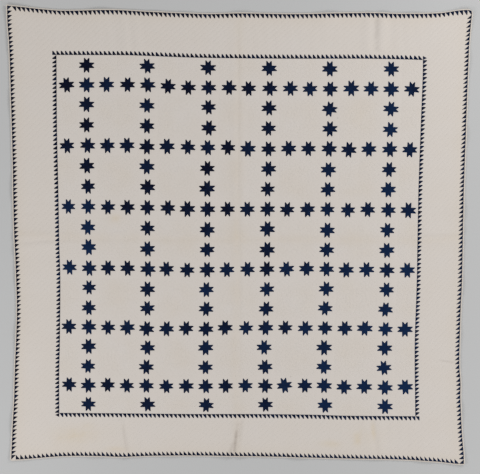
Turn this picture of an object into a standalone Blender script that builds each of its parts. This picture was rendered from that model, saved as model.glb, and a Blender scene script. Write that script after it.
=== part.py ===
"""A pieced and quilted cotton star quilt, spread out flat on its back.

Every piece is first drawn flat, where u runs across the quilt and v runs up it, both in millimetres
from the middle. The function laid() then says where that spot lies on the real, uneven quilt, and
lift() says how far a fold or a curled edge raises it off the surface that the quilt rests on.
"""
import math

import bmesh
import bpy

MM = 0.001

# Flat sizes in millimetres. The cutting was done in inches, so the patches are whole inches and quarters.
INCH = 25.4
PATCH = 3.5 * INCH
PATCHES_A_BLOCK = 3
BLOCK = PATCHES_A_BLOCK * PATCH
BLOCKS_A_SIDE = 6
SAWTOOTH = 0.75 * INCH
BORDER = 6.5 * INCH
BINDING = 0.25 * INCH

# Distances from the middle of the quilt to the seams of the rectangles that lie one inside the other
FIELD_REACH = BLOCK * BLOCKS_A_SIDE / 2
FRAME_REACH = FIELD_REACH + SAWTOOTH
BORDER_REACH = FRAME_REACH + BORDER
TEETH_REACH = BORDER_REACH + SAWTOOTH
EDGE_REACH = TEETH_REACH + BINDING

SEAM_GAP = 0.3

# Thickness of the two cotton cloths with a thin cotton wadding between them
THICK_AT_SEAM = 3.0
THICK_IN_PATCH = 4.2
THICK_IN_STRIP = 3.3
BINDING_HEIGHTS = {"seam": 3.3, "crown": 4.2, "rim": 3.2}
BINDING_RIM_CLEARANCE = 0.8

# Grid lines that shape the pieces
STEPS_A_PATCH = 2
STEPS_ALONG_A_BLOCK = 4
STEPS_ACROSS_BORDER = 4
LEAST_STEP = 4.0

# Corners of the quilt as it lies: the sawtooth frame's outer corners, and the outline's
CORNERS = {
    "frame": {"top_left": (-818, 804), "top_right": (820, 781), "bottom_left": (-805, -796),
              "bottom_right": (787, -811)},
    "edge": {"top_left": (-1020, 1006), "top_right": (1022.5, 988), "bottom_left": (-1002, -987),
             "bottom_right": (985, -1006)},
}
# Radius to which each corner of the outline is rounded
CORNER_ROUNDING = {"top_left": 4, "top_right": 28, "bottom_left": 9, "bottom_right": 9}

# How far each side is drawn in from the straight line between its corners.
# Columns: share of the side, from its left or lower end; millimetres inwards.
DRAWN_IN = {
    "frame": {
        "top": ((0.12, -2), (0.21, -3), (0.37, 3), (0.54, 3), (0.71, 0), (0.83, -3), (0.95, -2)),
        "bottom": ((0.15, 1), (0.38, 1), (0.54, 3), (0.71, 2), (0.80, -1)),
        "left": ((0.13, 2), (0.21, 6), (0.38, 10), (0.46, 7), (0.62, 4), (0.79, 0)),
        "right": ((0.05, 3), (0.21, 10), (0.37, 7), (0.62, 8), (0.79, 4), (0.95, -1)),
    },
    "edge": {
        "top": ((0.03, 5), (0.08, 15), (0.12, 20), (0.23, 15), (0.31, 22), (0.43, 29), (0.50, 25),
                (0.62, 26), (0.77, 18), (0.85, 21), (0.93, 16), (0.97, 4)),
        "bottom": ((0.03, 3), (0.11, 17), (0.19, 20), (0.24, 17), (0.31, 23), (0.39, 26), (0.55, 25),
                   (0.71, 20), (0.86, 17), (0.94, 9), (0.98, 1)),
        "left": ((0.05, 5), (0.13, 15), (0.20, 20), (0.32, 31), (0.44, 27), (0.52, 21), (0.64, 19),
                 (0.80, 13), (0.92, 7), (0.96, 1)),
        "right": ((0.02, 1), (0.06, 9), (0.14, 20), (0.18, 21), (0.22, 28), (0.33, 27), (0.41, 23),
                  (0.57, 23), (0.65, 21), (0.80, 16), (0.92, 11), (0.97, 5)),
    },
}
# Each side's lower or left end, its upper or right end, and the direction that points into the quilt
SIDES = {
    "top": ("top_left", "top_right", (0, -1)),
    "bottom": ("bottom_left", "bottom_right", (0, 1)),
    "left": ("bottom_left", "top_left", (1, 0)),
    "right": ("bottom_right", "top_right", (-1, 0)),
}

# What each block measures on the real quilt: widths from the left, heights from the bottom
BLOCK_WIDTHS = (259, 261, 262, 261, 262, 267)
BLOCK_HEIGHTS = (250, 255, 260, 266, 266, 260)
STRIP_AS_LAID = 18

# How far the middle of the field lies from where its four sides would put it.
# Columns: everywhere, more towards the right, more towards the top, more towards the top right.
MIDDLE_DRIFT = {"across": (-1, 6, 10, 1), "up": (-2, 6, 2, -21)}

# Creases from years folded in a chest. A trough is a pressed line between two soft shoulders.
# Columns: one end, other end, height of its first and second shoulder, reach to each side.
CREASES = {
    "bottom_middle": ((4, -800), (-22, -985), (5.0, 3.5), 62),
    "bottom_left": ((-497, -812), (-468, -968), (2.2, 4.2), 58),
    "bottom_right": ((576, -815), (598, -960), (2.6, 2.0), 66),
    "top_right": ((588, 812), (594, 965), (2.4, 4.6), 60),
    "top_left": ((-470, 818), (-488, 968), (3.0, 1.8), 56),
    "left_middle": ((-980, -34), (-800, -20), (2.4, 3.2), 64),
    "right_middle": ((800, -14), (975, -10), (3.0, 2.2), 60),
    "field_upright": ((-8, 800), (2, -800), (1.4, 1.2), 44),
    "field_level": ((-800, -20), (800, -14), (1.2, 1.4), 44),
}
SHOULDER_SHARPNESS = 0.6
CREASE_FADE = 0.12

# Corners that curl up a little: height, and how far the curl reaches into the quilt
CORNER_CURLS = {"top_left": (6.0, 150), "top_right": (7.0, 140), "bottom_left": (3.5, 120),
                "bottom_right": (4.5, 130)}

# Soft waves along the outer edges. Columns: height, wave length, second wave length, shift.
EDGE_WAVES = {
    "top": (4.0, 330, 196, 0.9),
    "bottom": (3.4, 296, 181, 2.3),
    "left": (3.6, 342, 208, 4.1),
    "right": (3.8, 310, 172, 5.2),
}
EDGE_WAVE_WIDTH = 120

# Colours of the cloths, and how dull they are
CLOTHS = {
    "unbleached_cotton": ((0.56, 0.50, 0.44, 1.0), 0.9),
    "indigo_cotton": ((0.012, 0.022, 0.07, 1.0), 0.85),
}
COLLECTION_NAME = "star_quilt"


def smooth_through(rows, share):
    """Value at share of a smooth curve that is 0 at both ends and passes through the rows."""
    rows = ((0.0, 0.0),) + tuple(rows) + ((1.0, 0.0),)
    share = min(max(share, 0.0), 1.0)
    first = 0
    while first < len(rows) - 2 and share > rows[first + 1][0]:
        first += 1

    def slope(row):
        before, after = rows[max(row - 1, 0)], rows[min(row + 1, len(rows) - 1)]
        return (after[1] - before[1]) / (after[0] - before[0])

    (start, low), (end, high) = rows[first], rows[first + 1]
    width = end - start
    t = (share - start) / width
    rising = t * t * (3 - 2 * t)
    leaving = t * (1 - t) * (1 - t) * width * slope(first)
    arriving = t * t * (1 - t) * width * slope(first + 1)
    return low + (high - low) * rising + leaving - arriving


def side_point(rectangle, side, share):
    """Point on one side of the frame or of the outline, as laid."""
    start, end, inwards = SIDES[side]
    x0, y0 = CORNERS[rectangle][start]
    x1, y1 = CORNERS[rectangle][end]
    drawn = smooth_through(DRAWN_IN[rectangle][side], share)
    return x0 + (x1 - x0) * share + inwards[0] * drawn, y0 + (y1 - y0) * share + inwards[1] * drawn


def laid_share(place, block_sizes):
    """Share of the frame's side at which a flat place lies, given what the blocks really measure."""
    flat, laid_at = -FRAME_REACH, 0.0
    total = sum(block_sizes) + 2 * STRIP_AS_LAID
    for flat_size, laid_size in [(SAWTOOTH, STRIP_AS_LAID), *((BLOCK, size) for size in block_sizes),
                                 (SAWTOOTH, STRIP_AS_LAID)]:
        if place <= flat + flat_size:
            break
        flat += flat_size
        laid_at += laid_size
    return min((laid_at + (place - flat) / flat_size * laid_size) / total, 1.0)


def laid_inside(u, v):
    """Where a spot inside the sawtooth frame lies: blended from the frame's four sides."""
    s = laid_share(u, BLOCK_WIDTHS)
    t = laid_share(v, BLOCK_HEIGHTS)
    bottom, top = side_point("frame", "bottom", s), side_point("frame", "top", s)
    left, right = side_point("frame", "left", t), side_point("frame", "right", t)
    corner = CORNERS["frame"]
    across, up = u / FRAME_REACH, v / FRAME_REACH
    hold = (1 - across * across) * (1 - up * up)
    spot = []
    for axis, drift in enumerate((MIDDLE_DRIFT["across"], MIDDLE_DRIFT["up"])):
        between_sides = ((1 - t) * bottom[axis] + t * top[axis] + (1 - s) * left[axis] + s * right[axis])
        low = (1 - s) * corner["bottom_left"][axis] + s * corner["bottom_right"][axis]
        high = (1 - s) * corner["top_left"][axis] + s * corner["top_right"][axis]
        shift = drift[0] + drift[1] * across + drift[2] * up + drift[3] * across * up
        spot.append(between_sides - (1 - t) * low - t * high + hold * shift)
    return spot[0], spot[1]


def corner_name(x, y):
    return ("top" if y > 0 else "bottom") + ("_right" if x > 0 else "_left")


def rounded(u, v):
    """Bends the square corners of the flat outline round their radius."""
    radius = CORNER_ROUNDING[corner_name(u, v)]
    past_u = abs(u) - (EDGE_REACH - radius)
    past_v = abs(v) - (EDGE_REACH - radius)
    if past_u <= 0 or past_v <= 0:
        return u, v
    shrink = max(past_u, past_v) / math.hypot(past_u, past_v)
    return (math.copysign(EDGE_REACH - radius + past_u * shrink, u),
            math.copysign(EDGE_REACH - radius + past_v * shrink, v))


def laid(u, v):
    """Where a flat spot lies on the real quilt, in millimetres from its middle."""
    u, v = rounded(u, v)
    reach = max(abs(u), abs(v))
    if reach <= FRAME_REACH:
        return laid_inside(u, v)
    if abs(u) >= abs(v):
        side, ratio, sizes = ("right" if u > 0 else "left"), v / reach, BLOCK_HEIGHTS
    else:
        side, ratio, sizes = ("top" if v > 0 else "bottom"), u / reach, BLOCK_WIDTHS
    outwards = (reach - FRAME_REACH) / (EDGE_REACH - FRAME_REACH)
    x0, y0 = side_point("frame", side, laid_share(ratio * FRAME_REACH, sizes))
    x1, y1 = side_point("edge", side, (ratio + 1) / 2)
    return x0 + (x1 - x0) * outwards, y0 + (y1 - y0) * outwards


def crease_lift(x, y, start, end, shoulders, reach):
    """Height of a pressed line and the two soft shoulders beside it."""
    run_x, run_y = end[0] - start[0], end[1] - start[1]
    length = math.hypot(run_x, run_y)
    along = ((x - start[0]) * run_x + (y - start[1]) * run_y) / length ** 2
    aside = ((x - start[0]) * run_y - (y - start[1]) * run_x) / length
    distance = abs(aside) / reach
    if distance >= 1 or along <= -CREASE_FADE or along >= 1 + CREASE_FADE:
        return 0.0
    fade = min(1.0, (along + CREASE_FADE) / CREASE_FADE, (1 + CREASE_FADE - along) / CREASE_FADE)
    height = shoulders[0] if aside < 0 else shoulders[1]
    return height * fade * fade * (3 - 2 * fade) * math.sin(math.pi * distance ** SHOULDER_SHARPNESS) ** 2


def edge_lift(u, v):
    """Height of the soft waves along the outer edges."""
    reach = max(abs(u), abs(v))
    inwards = (EDGE_REACH - reach) / EDGE_WAVE_WIDTH
    if inwards >= 1:
        return 0.0
    if abs(u) >= abs(v):
        side, along = ("right" if u > 0 else "left"), v
    else:
        side, along = ("top" if v > 0 else "bottom"), u
    height, first_wave, second_wave, shift = EDGE_WAVES[side]
    wave = (0.6 * math.sin(2 * math.pi * along / first_wave + shift)
            + 0.4 * math.sin(2 * math.pi * along / second_wave + 2 * shift))
    to_corner = (EDGE_REACH - abs(along)) / EDGE_WAVE_WIDTH
    return height * max(wave, 0.0) * (1 - inwards) ** 2 * min(1.0, to_corner)


def corner_lift(x, y):
    name = corner_name(x, y)
    height, reach = CORNER_CURLS[name]
    corner_x, corner_y = CORNERS["edge"][name]
    near = 1 - math.hypot(x - corner_x, y - corner_y) / reach
    return height * near * near if near > 0 else 0.0


def lift(u, v):
    """How far the underside lies above the surface at a flat spot."""
    x, y = laid(u, v)
    creases = sum(crease_lift(x, y, *crease) for crease in CREASES.values())
    return creases + edge_lift(u, v) + corner_lift(x, y)


def even_lines(start, end, count):
    return [start + (end - start) * step / count for step in range(count + 1)]


def across_lines():
    """Grid lines at the seams of the frames, in the border, and halfway round the roundest corner."""
    lines = even_lines(FRAME_REACH, BORDER_REACH, STEPS_ACROSS_BORDER)
    lines += [TEETH_REACH, EDGE_REACH - max(CORNER_ROUNDING.values()) / 2]
    return [sign * line for sign in (-1, 1) for line in lines]


def crease_lines(side):
    """Grid lines on the pressed line and the shoulders of each crease that crosses this side's border."""
    axis = 0 if side in ("top", "bottom") else 1
    sign = 1 if side in ("top", "right") else -1
    lines = []
    for start, end, _, reach in CREASES.values():
        crosses = min(sign * start[1 - axis], sign * end[1 - axis]) > FIELD_REACH - SAWTOOTH
        if crosses and abs(end[axis] - start[axis]) < abs(end[1 - axis] - start[1 - axis]):
            middle = (start[axis] + end[axis]) / 2
            lines += [middle - reach / 3, middle, middle + reach / 3]
    return lines


def along_lines(side):
    """Grid lines along one side, the same for its frames, border and binding, so that their seams match."""
    steps = BLOCKS_A_SIDE * STEPS_ALONG_A_BLOCK
    seams = across_lines()
    creases = crease_lines(side)
    others = [line for line in even_lines(-FIELD_REACH, FIELD_REACH, steps)
              if all(abs(line - crease) > LEAST_STEP for crease in creases)]
    return seams + creases + others


def lines_between(lines, low, high):
    """The piece's own cut edges, and the grid lines that fall well inside them."""
    inside = sorted(line for line in lines if low + LEAST_STEP < line < high - LEAST_STEP)
    return [low + SEAM_GAP / 2, *inside, high - SEAM_GAP / 2]


def grid_lines(side, box):
    """The u lines and v lines of a strip on one side of the quilt."""
    u_low, u_high, v_low, v_high = box
    level = side in ("top", "bottom")
    return (lines_between(along_lines(side) if level else across_lines(), u_low, u_high),
            lines_between(across_lines() if level else along_lines(side), v_low, v_high))


def cloth_material(name, cloth):
    colour, roughness = CLOTHS[cloth]
    material = bpy.data.materials.new(name + "_cloth")
    material.use_nodes = True
    shader = material.node_tree.nodes["Principled BSDF"]
    shader.inputs["Base Color"].default_value = colour
    shader.inputs["Roughness"].default_value = roughness
    shader.inputs["Metallic"].default_value = 0.0
    material.diffuse_color = colour
    return material


def make_piece(collection, name, u_lines, v_lines, top_height, cloth, foot_height=None):
    """One cut piece: a grid for its underside, drawn up to its top, closed all round and laid in place.

    top_height and foot_height give the thickness, and the clearance under it, at a column and row.
    """
    mesh = bmesh.new()
    columns, rows = len(u_lines) - 1, len(v_lines) - 1
    bmesh.ops.create_grid(mesh, x_segments=columns, y_segments=rows, size=0.5)
    drawn_up = bmesh.ops.extrude_face_region(mesh, geom=mesh.faces[:])["geom"]
    top = {item for item in drawn_up if isinstance(item, bmesh.types.BMVert)}
    for vertex in mesh.verts:
        column = round((vertex.co.x + 0.5) * columns)
        row = round((vertex.co.y + 0.5) * rows)
        x, y = laid(u_lines[column], v_lines[row])
        z = lift(u_lines[column], v_lines[row])
        if vertex in top:
            z += top_height(column, row)
        elif foot_height:
            z += foot_height(column, row)
        vertex.co = (x * MM, y * MM, z * MM)
    resting = [face for face in mesh.faces if all(vertex.co.z == 0 for vertex in face.verts)]
    bmesh.ops.dissolve_faces(mesh, faces=resting, use_verts=False)
    bmesh.ops.recalc_face_normals(mesh, faces=mesh.faces[:])
    data = bpy.data.meshes.new(name)
    mesh.to_mesh(data)
    mesh.free()
    data.materials.append(cloth_material(name, cloth))
    collection.objects.link(bpy.data.objects.new(name, data))


def padded(columns, rows, steps_a_patch):
    """Top of a padded piece: held down along its seams and full in the middle of each patch."""
    def height(column, row):
        on_patch_seam = column % steps_a_patch == 0 or row % steps_a_patch == 0
        on_rim = column in (0, columns) or row in (0, rows)
        return THICK_AT_SEAM if on_patch_seam or on_rim else THICK_IN_PATCH
    return height


def make_blocks(collection):
    """Thirty-six blocks, each nine patches: five stars in a cross and four plain squares."""
    steps = PATCHES_A_BLOCK * STEPS_A_PATCH
    height = padded(steps, steps, STEPS_A_PATCH)
    for row in range(BLOCKS_A_SIDE):
        for column in range(BLOCKS_A_SIDE):
            left = -FIELD_REACH + column * BLOCK
            top = FIELD_REACH - row * BLOCK
            u_lines = lines_between(even_lines(left, left + BLOCK, steps), left, left + BLOCK)
            v_lines = lines_between(even_lines(top - BLOCK, top, steps), top - BLOCK, top)
            make_piece(collection, f"block_{row + 1}_{column + 1}", u_lines, v_lines, height,
                       "unbleached_cotton")


def ring_boxes(inner, outer):
    """Flat boxes (u low, u high, v low, v high) of four strips round a rectangle.

    The two upright strips are sewn on first, and the level ones run over their ends.
    """
    return {
        "top": (-outer, outer, inner, outer),
        "bottom": (-outer, outer, -outer, -inner),
        "left": (-outer, -inner, -inner, inner),
        "right": (inner, outer, -inner, inner),
    }


def make_ring(collection, name, inner, outer, cloth, top_heights):
    for side, box in ring_boxes(inner, outer).items():
        u_lines, v_lines = grid_lines(side, box)
        height = top_heights(len(u_lines) - 1, len(v_lines) - 1)
        make_piece(collection, f"{name}_{side}", u_lines, v_lines, height, cloth)


def strip_top(columns, rows):
    """A sawtooth strip is too narrow to puff, and its seams keep it flat."""
    return lambda column, row: THICK_IN_STRIP


def border_top(columns, rows):
    """A border strip is one patch, held down at its four seams only."""
    return padded(columns, rows, steps_a_patch=columns + rows)


def make_binding(collection):
    """A folded strip round the raw edge, with a rounded rim."""
    crown = (TEETH_REACH + EDGE_REACH) / 2
    for side, box in ring_boxes(TEETH_REACH, EDGE_REACH).items():
        u_lines, v_lines = grid_lines(side, box)
        level = side in ("top", "bottom")
        outwards = 1 if side in ("top", "right") else -1
        across = v_lines if level else u_lines
        across.insert(1, outwards * crown)
        rim = 1 + outwards
        heights = {1 - outwards: BINDING_HEIGHTS["seam"], 1: BINDING_HEIGHTS["crown"],
                   rim: BINDING_HEIGHTS["rim"]}

        def top_height(column, row, heights=heights, level=level):
            return heights[row if level else column]

        def foot_height(column, row, rim=rim, level=level):
            return BINDING_RIM_CLEARANCE if (row if level else column) == rim else 0.0

        make_piece(collection, f"binding_{side}", u_lines, v_lines, top_height, "unbleached_cotton",
                   foot_height)


def build():
    for old in list(bpy.data.objects):
        bpy.data.objects.remove(old, do_unlink=True)
    collection = bpy.data.collections.new(COLLECTION_NAME)
    bpy.context.scene.collection.children.link(collection)
    make_blocks(collection)
    make_ring(collection, "inner_sawtooth", FIELD_REACH, FRAME_REACH, "indigo_cotton", strip_top)
    make_ring(collection, "border", FRAME_REACH, BORDER_REACH, "unbleached_cotton", border_top)
    make_ring(collection, "outer_sawtooth", BORDER_REACH, TEETH_REACH, "indigo_cotton", strip_top)
    make_binding(collection)


build()
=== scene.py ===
# %% [markdown]
# # A star quilt, spread flat
#
# A pieced bed quilt is three layers that stitches hold together: a patchwork top, a thin cotton wadding and
# a plain backing. This lesson makes it piece by piece, as a maker would cut and sew it: blocks of small
# eight-pointed stars, a sawtooth frame, a wide border, a second row of teeth and a folded binding.
#
# The solid model says where each piece lies and how big it is, so it is loaded first. It is never changed.
# Each piece that is made here takes the place of its plain solid.

import bpy
import numpy as np
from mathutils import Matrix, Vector


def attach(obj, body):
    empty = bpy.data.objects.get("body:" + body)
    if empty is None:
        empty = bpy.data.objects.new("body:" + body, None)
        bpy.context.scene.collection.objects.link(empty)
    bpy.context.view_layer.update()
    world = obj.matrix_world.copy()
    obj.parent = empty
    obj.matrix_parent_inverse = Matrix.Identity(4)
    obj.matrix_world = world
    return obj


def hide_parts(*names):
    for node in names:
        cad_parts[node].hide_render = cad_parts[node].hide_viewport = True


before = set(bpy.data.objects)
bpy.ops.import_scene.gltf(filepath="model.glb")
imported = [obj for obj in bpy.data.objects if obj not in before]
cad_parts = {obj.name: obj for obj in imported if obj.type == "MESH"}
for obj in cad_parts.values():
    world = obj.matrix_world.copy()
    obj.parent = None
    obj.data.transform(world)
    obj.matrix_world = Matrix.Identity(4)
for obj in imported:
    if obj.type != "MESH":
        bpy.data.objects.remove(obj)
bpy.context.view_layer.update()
MM = 0.001
print("plain solids to dress:", len(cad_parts))

# %% [markdown]
# ## Cutting sizes
#
# The quilt was cut in inches. A star patch and a plain patch are both 3 1/2 inches, nine of them make a
# block, and six rows of six blocks make the field. All later shapes come from these few sizes, so the seams
# of neighbouring pieces meet without any fitting. The quilt is first drawn flat, in millimetres from its
# middle: u runs to the right and v runs up.

# %% Cutting sizes
INCH = 25.4
PATCH = 3.5 * INCH
PATCHES_A_BLOCK = 3
BLOCK = PATCHES_A_BLOCK * PATCH
BLOCKS_A_SIDE = 6
SAWTOOTH = 0.75 * INCH
BORDER = 6.5 * INCH
BINDING = 5.0
EDGE_REACH = 79.5 * INCH / 2

FIELD_REACH = BLOCK * BLOCKS_A_SIDE / 2
FRAME_REACH = FIELD_REACH + SAWTOOTH
BORDER_REACH = FRAME_REACH + BORDER
TEETH_REACH = EDGE_REACH - BINDING
print("flat width of the quilt in mm:", 2 * EDGE_REACH)

# %% [markdown]
# ## Where a flat spot lies on the real quilt
#
# An old quilt is no true square. Its blocks differ by a few millimetres, its sides are drawn in by the
# quilting, and one corner is rounded. Four smooth side curves describe the sawtooth frame, four more
# describe the outline, and every other spot is blended between them. The sums are done on whole arrays of
# spots at once, because the quilt has several hundred thousand of them.

# %% The four corners and the drawn-in sides
CORNERS = {
    "frame": {"top_left": (-818, 804), "top_right": (820, 781), "bottom_left": (-805, -796),
              "bottom_right": (787, -811)},
    "edge": {"top_left": (-1020, 1006), "top_right": (1022.5, 988), "bottom_left": (-1002, -987),
             "bottom_right": (985, -1006)},
}
CORNER_ROUNDING = {"top_left": 4, "top_right": 28, "bottom_left": 9, "bottom_right": 9}

# Columns: share of the side, from its left or lower end; millimetres inwards
DRAWN_IN = {
    "frame": {
        "top": ((0.12, -2), (0.21, -3), (0.37, 3), (0.54, 3), (0.71, 0), (0.83, -3), (0.95, -2)),
        "bottom": ((0.15, 1), (0.38, 1), (0.54, 3), (0.71, 2), (0.80, -1)),
        "left": ((0.13, 2), (0.21, 6), (0.38, 10), (0.46, 7), (0.62, 4), (0.79, 0)),
        "right": ((0.05, 3), (0.21, 10), (0.37, 7), (0.62, 8), (0.79, 4), (0.95, -1)),
    },
    "edge": {
        "top": ((0.03, 5), (0.08, 15), (0.12, 20), (0.23, 15), (0.31, 22), (0.43, 29), (0.50, 25),
                (0.62, 26), (0.77, 18), (0.85, 21), (0.93, 16), (0.97, 4)),
        "bottom": ((0.03, 3), (0.11, 17), (0.19, 20), (0.24, 17), (0.31, 23), (0.39, 26), (0.55, 25),
                   (0.71, 20), (0.86, 17), (0.94, 9), (0.98, 1)),
        "left": ((0.05, 5), (0.13, 15), (0.20, 20), (0.32, 31), (0.44, 27), (0.52, 21), (0.64, 19),
                 (0.80, 13), (0.92, 7), (0.96, 1)),
        "right": ((0.02, 1), (0.06, 9), (0.14, 20), (0.18, 21), (0.22, 28), (0.33, 27), (0.41, 23),
                  (0.57, 23), (0.65, 21), (0.80, 16), (0.92, 11), (0.97, 5)),
    },
}
# Each side's lower or left end, its upper or right end, and the direction that points into the quilt
SIDES = {
    "top": ("top_left", "top_right", (0, -1)),
    "bottom": ("bottom_left", "bottom_right", (0, 1)),
    "left": ("bottom_left", "top_left", (1, 0)),
    "right": ("bottom_right", "top_right", (-1, 0)),
}
LEVEL = ("top", "bottom")
# What the blocks really measure: widths from the left, heights from the bottom
BLOCK_WIDTHS = (259, 261, 262, 261, 262, 267)
BLOCK_HEIGHTS = (250, 255, 260, 266, 266, 260)
STRIP_AS_LAID = 18
# Drift of the middle of the field. Columns: everywhere, more to the right, more to the top, more to both.
MIDDLE_DRIFT = {"across": (-1, 6, 10, 1), "up": (-2, 6, 2, -21)}
print("blocks measure", min(BLOCK_HEIGHTS), "to", max(BLOCK_WIDTHS), "mm as laid")


# %% Points on the sides
def eased(share):
    """Goes from 0 to 1 with a soft start and a soft end."""
    return share * share * (3 - 2 * share)


def smooth_through(rows, share):
    """Smooth curve that is 0 at both ends and passes through the rows."""
    places = np.array([0.0, *(row[0] for row in rows), 1.0])
    values = np.array([0.0, *(row[1] for row in rows), 0.0])
    count = len(places)
    before = np.maximum(np.arange(count) - 1, 0)
    after = np.minimum(np.arange(count) + 1, count - 1)
    slopes = (values[after] - values[before]) / (places[after] - places[before])
    share = np.clip(share, 0, 1)
    first = np.clip(np.searchsorted(places, share) - 1, 0, count - 2)
    width = places[first + 1] - places[first]
    t = (share - places[first]) / width
    leaving = t * (1 - t) * (1 - t) * width * slopes[first]
    arriving = t * t * (1 - t) * width * slopes[first + 1]
    return values[first] + (values[first + 1] - values[first]) * eased(t) + leaving - arriving


def side_point(rectangle, side, share):
    """Spot on one side of the frame or of the outline, as laid."""
    start, end, inwards = SIDES[side]
    x0, y0 = CORNERS[rectangle][start]
    x1, y1 = CORNERS[rectangle][end]
    drawn = smooth_through(DRAWN_IN[rectangle][side], share)
    return x0 + (x1 - x0) * share + inwards[0] * drawn, y0 + (y1 - y0) * share + inwards[1] * drawn


def laid_share(place, block_sizes):
    """Share of the frame's side at which a flat place lies, given what the blocks really measure."""
    flat_steps = [0, SAWTOOTH, *[BLOCK] * BLOCKS_A_SIDE, SAWTOOTH]
    laid_steps = [0, STRIP_AS_LAID, *block_sizes, STRIP_AS_LAID]
    return np.interp(place, np.cumsum(flat_steps) - FRAME_REACH, np.cumsum(laid_steps) / sum(laid_steps))


def on_side(u, v, side):
    """Which flat spots belong to a side of the quilt, and how far along the side each one is."""
    out, along = (v, u) if side in LEVEL else (u, v)
    steep = np.abs(v) > np.abs(u)
    belongs = steep if side in LEVEL else ~steep
    return belongs & (out > 0 if side in ("top", "right") else out < 0), along


print("middle of the top edge:", side_point("edge", "top", np.array(0.5)))


# %% Flat spots laid on the real quilt
def laid_inside(u, v):
    """Spots inside the sawtooth frame, blended from its four sides."""
    s, t = laid_share(u, BLOCK_WIDTHS), laid_share(v, BLOCK_HEIGHTS)
    bottom, top = side_point("frame", "bottom", s), side_point("frame", "top", s)
    left, right = side_point("frame", "left", t), side_point("frame", "right", t)
    corner = CORNERS["frame"]
    across, up = u / FRAME_REACH, v / FRAME_REACH
    hold = (1 - across * across) * (1 - up * up)
    spot = []
    for axis, drift in enumerate((MIDDLE_DRIFT["across"], MIDDLE_DRIFT["up"])):
        between = (1 - t) * bottom[axis] + t * top[axis] + (1 - s) * left[axis] + s * right[axis]
        low = (1 - s) * corner["bottom_left"][axis] + s * corner["bottom_right"][axis]
        high = (1 - s) * corner["top_left"][axis] + s * corner["top_right"][axis]
        shift = drift[0] + drift[1] * across + drift[2] * up + drift[3] * across * up
        spot.append(between - (1 - t) * low - t * high + hold * shift)
    return spot


def corner_choice(x, y, table):
    """The table's value for the corner that each spot is nearest to."""
    high = np.where(x > 0, table["top_right"], table["top_left"])
    low = np.where(x > 0, table["bottom_right"], table["bottom_left"])
    return np.where(y > 0, high, low)


def rounded(u, v):
    """Bends the square corners of the flat outline round their radius."""
    radius = corner_choice(u, v, CORNER_ROUNDING)
    straight = EDGE_REACH - radius
    past_u = np.clip((np.abs(u) - straight) / radius, 0, 1)
    past_v = np.clip((np.abs(v) - straight) / radius, 0, 1)
    bent_u = np.copysign(straight + radius * past_u * np.sqrt(1 - past_v ** 2 / 2), u)
    bent_v = np.copysign(straight + radius * past_v * np.sqrt(1 - past_u ** 2 / 2), v)
    return np.where(past_u > 0, bent_u, u), np.where(past_v > 0, bent_v, v)


def laid(u, v):
    """Where flat spots lie on the real quilt, in millimetres from its middle."""
    u, v = rounded(u, v)
    reach = np.maximum(np.abs(u), np.abs(v))
    x, y = laid_inside(np.clip(u, -FRAME_REACH, FRAME_REACH), np.clip(v, -FRAME_REACH, FRAME_REACH))
    outwards = (reach - FRAME_REACH) / (EDGE_REACH - FRAME_REACH)
    for side in SIDES:
        belongs, along = on_side(u, v, side)
        here = belongs & (reach > FRAME_REACH)
        ratio = along / np.maximum(reach, 1)
        sizes = BLOCK_WIDTHS if side in LEVEL else BLOCK_HEIGHTS
        x0, y0 = side_point("frame", side, laid_share(ratio * FRAME_REACH, sizes))
        x1, y1 = side_point("edge", side, (ratio + 1) / 2)
        x = np.where(here, x0 + (x1 - x0) * outwards, x)
        y = np.where(here, y0 + (y1 - y0) * outwards, y)
    return x, y


middle = laid(np.array(0.0), np.array(0.0))
print("middle of the quilt lies at", [round(float(value), 1) for value in middle])

# %% [markdown]
# ## Creases, curled corners and waves
#
# The quilt was kept folded in a chest. Opened out, it keeps a few pressed lines with a soft shoulder on each
# side, its corners curl up, and its edges wave a little. A cloth simulation would put such folds where it
# liked. Here each one is placed with its own height and reach, as on the real quilt.

# %% Folds in the cloth
# Columns: one end, other end, heights of the two shoulders, reach to each side, softness of the trough
CREASES = {
    "bottom_middle": ((4, -800), (-22, -985), (5.0, 3.5), 62, 4),
    "bottom_left": ((-497, -812), (-468, -968), (2.2, 4.2), 58, 8),
    "bottom_right": ((576, -815), (598, -960), (2.6, 2.0), 66, 8),
    "top_right": ((588, 812), (594, 965), (2.4, 4.6), 60, 15),
    "top_left": ((-470, 818), (-488, 968), (3.0, 1.8), 56, 10),
    "left_middle": ((-980, -34), (-800, -20), (2.4, 3.2), 64, 6),
    "right_middle": ((800, -14), (975, -10), (3.0, 2.2), 60, 6),
    "field_upright": ((-8, 800), (2, -800), (1.4, 1.2), 44, 4),
    "field_level": ((-800, -20), (800, -14), (1.2, 1.4), 44, 4),
}
SHOULDER_SHARPNESS = 0.6
CREASE_FADE = 0.12

# Corners that curl up: height, and how far the curl reaches into the quilt
CURL_HEIGHT = {"top_left": 6.0, "top_right": 7.0, "bottom_left": 3.5, "bottom_right": 4.5}
CURL_REACH = {"top_left": 150, "top_right": 140, "bottom_left": 120, "bottom_right": 130}

# Waves along the outer edges. Columns: height, wave length, second wave length, shift.
EDGE_WAVES = {
    "top": (4.0, 330, 196, 0.9),
    "bottom": (3.4, 296, 181, 2.3),
    "left": (3.6, 342, 208, 4.1),
    "right": (3.8, 310, 172, 5.2),
}
FIRST_WAVE_SHARE, SECOND_WAVE_SHARE = 0.6, 0.4
EDGE_WAVE_WIDTH = 120


def along_line(start, end, x, y):
    """Share of the line from start to end at which a spot lies."""
    run_x, run_y = end[0] - start[0], end[1] - start[1]
    return ((x - start[0]) * run_x + (y - start[1]) * run_y) / (run_x ** 2 + run_y ** 2)


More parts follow.
